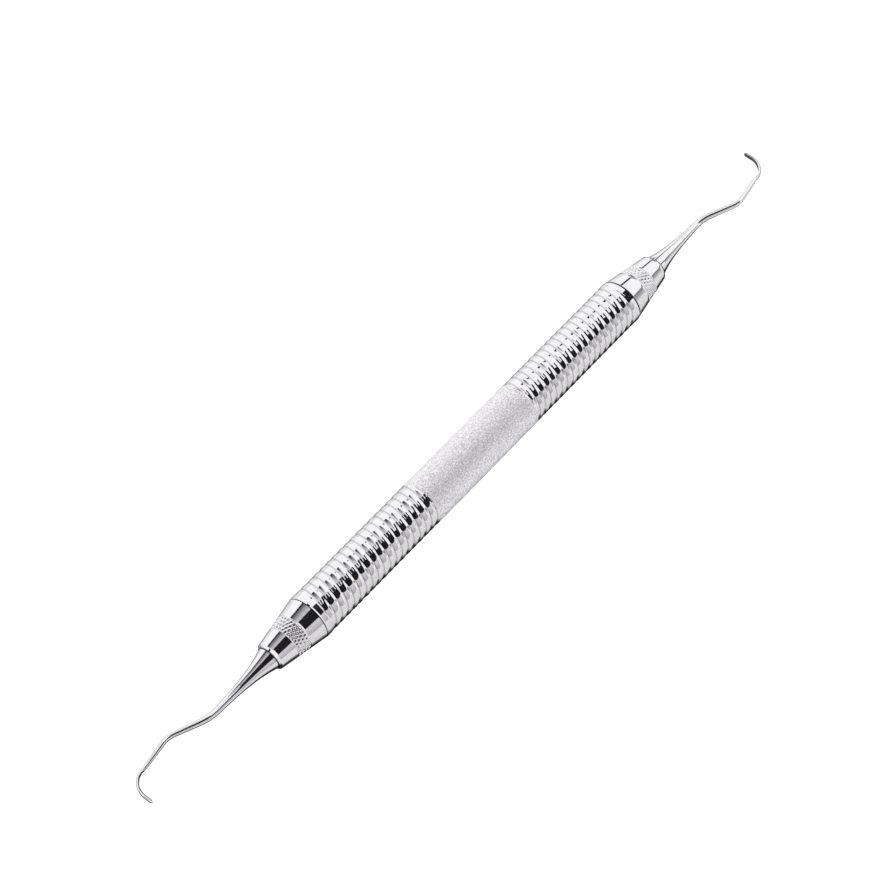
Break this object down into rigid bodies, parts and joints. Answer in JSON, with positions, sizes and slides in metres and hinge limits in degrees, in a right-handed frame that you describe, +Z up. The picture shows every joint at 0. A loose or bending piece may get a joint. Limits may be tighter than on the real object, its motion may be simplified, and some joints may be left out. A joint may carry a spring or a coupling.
{
  "type": "double-ended dental hand scaler",
  "caption": "Hollow round steel handle with ribbed grips and a plain middle band; a knurled cone with a bent shank and a small curved blade screws into each end.",
  "frame": {"origin": "middle of the handle, on its axis", "axes": "+X along the handle towards the right end, +Z up, the shanks bend in the XY plane"},
  "size_m": [0.1826, 0.0094, 0.0094],
  "materials": {
    "satin_steel": "polished ribs and a frosted middle band",
    "polished_steel": "mirror polished stainless steel",
    "silicone": "matt silicone"
  },
  "bodies": {
    "handle": {"handle_tube": "satin_steel", "left_threaded_bush": "satin_steel", "right_threaded_bush": "satin_steel"},
    "left_seal": {"left_seal_ring": "silicone"},
    "right_seal": {"right_seal_ring": "silicone"},
    "left_end": {"left_knurled_cone": "polished_steel", "left_curette_tip": "polished_steel"},
    "right_end": {"right_knurled_cone": "polished_steel", "right_curette_tip": "polished_steel"}
  },
  "joints": [
    {"name": "left_end_travel", "type": "slide", "parent": "handle", "child": "left_seal", "axis": [-1, 0, 0], "range_m": [0, 0.006]},
    {"name": "left_end_turn", "type": "hinge", "parent": "left_seal", "child": "left_end", "pos_m": [-0.046, 0, 0], "axis": [-1, 0, 0], "range_deg": [0, 2160]},
    {"name": "right_end_travel", "type": "slide", "parent": "handle", "child": "right_seal", "axis": [1, 0, 0], "range_m": [0, 0.006]},
    {"name": "right_end_turn", "type": "hinge", "parent": "right_seal", "child": "right_end", "pos_m": [0.046, 0, 0], "axis": [1, 0, 0], "range_deg": [0, 2160]}
  ],
  "couplings": [
    {"joint": "left_end_turn", "follows": "left_end_travel", "rad_per_m": 6283.2},
    {"joint": "right_end_turn", "follows": "right_end_travel", "rad_per_m": 6283.2}
  ]
}
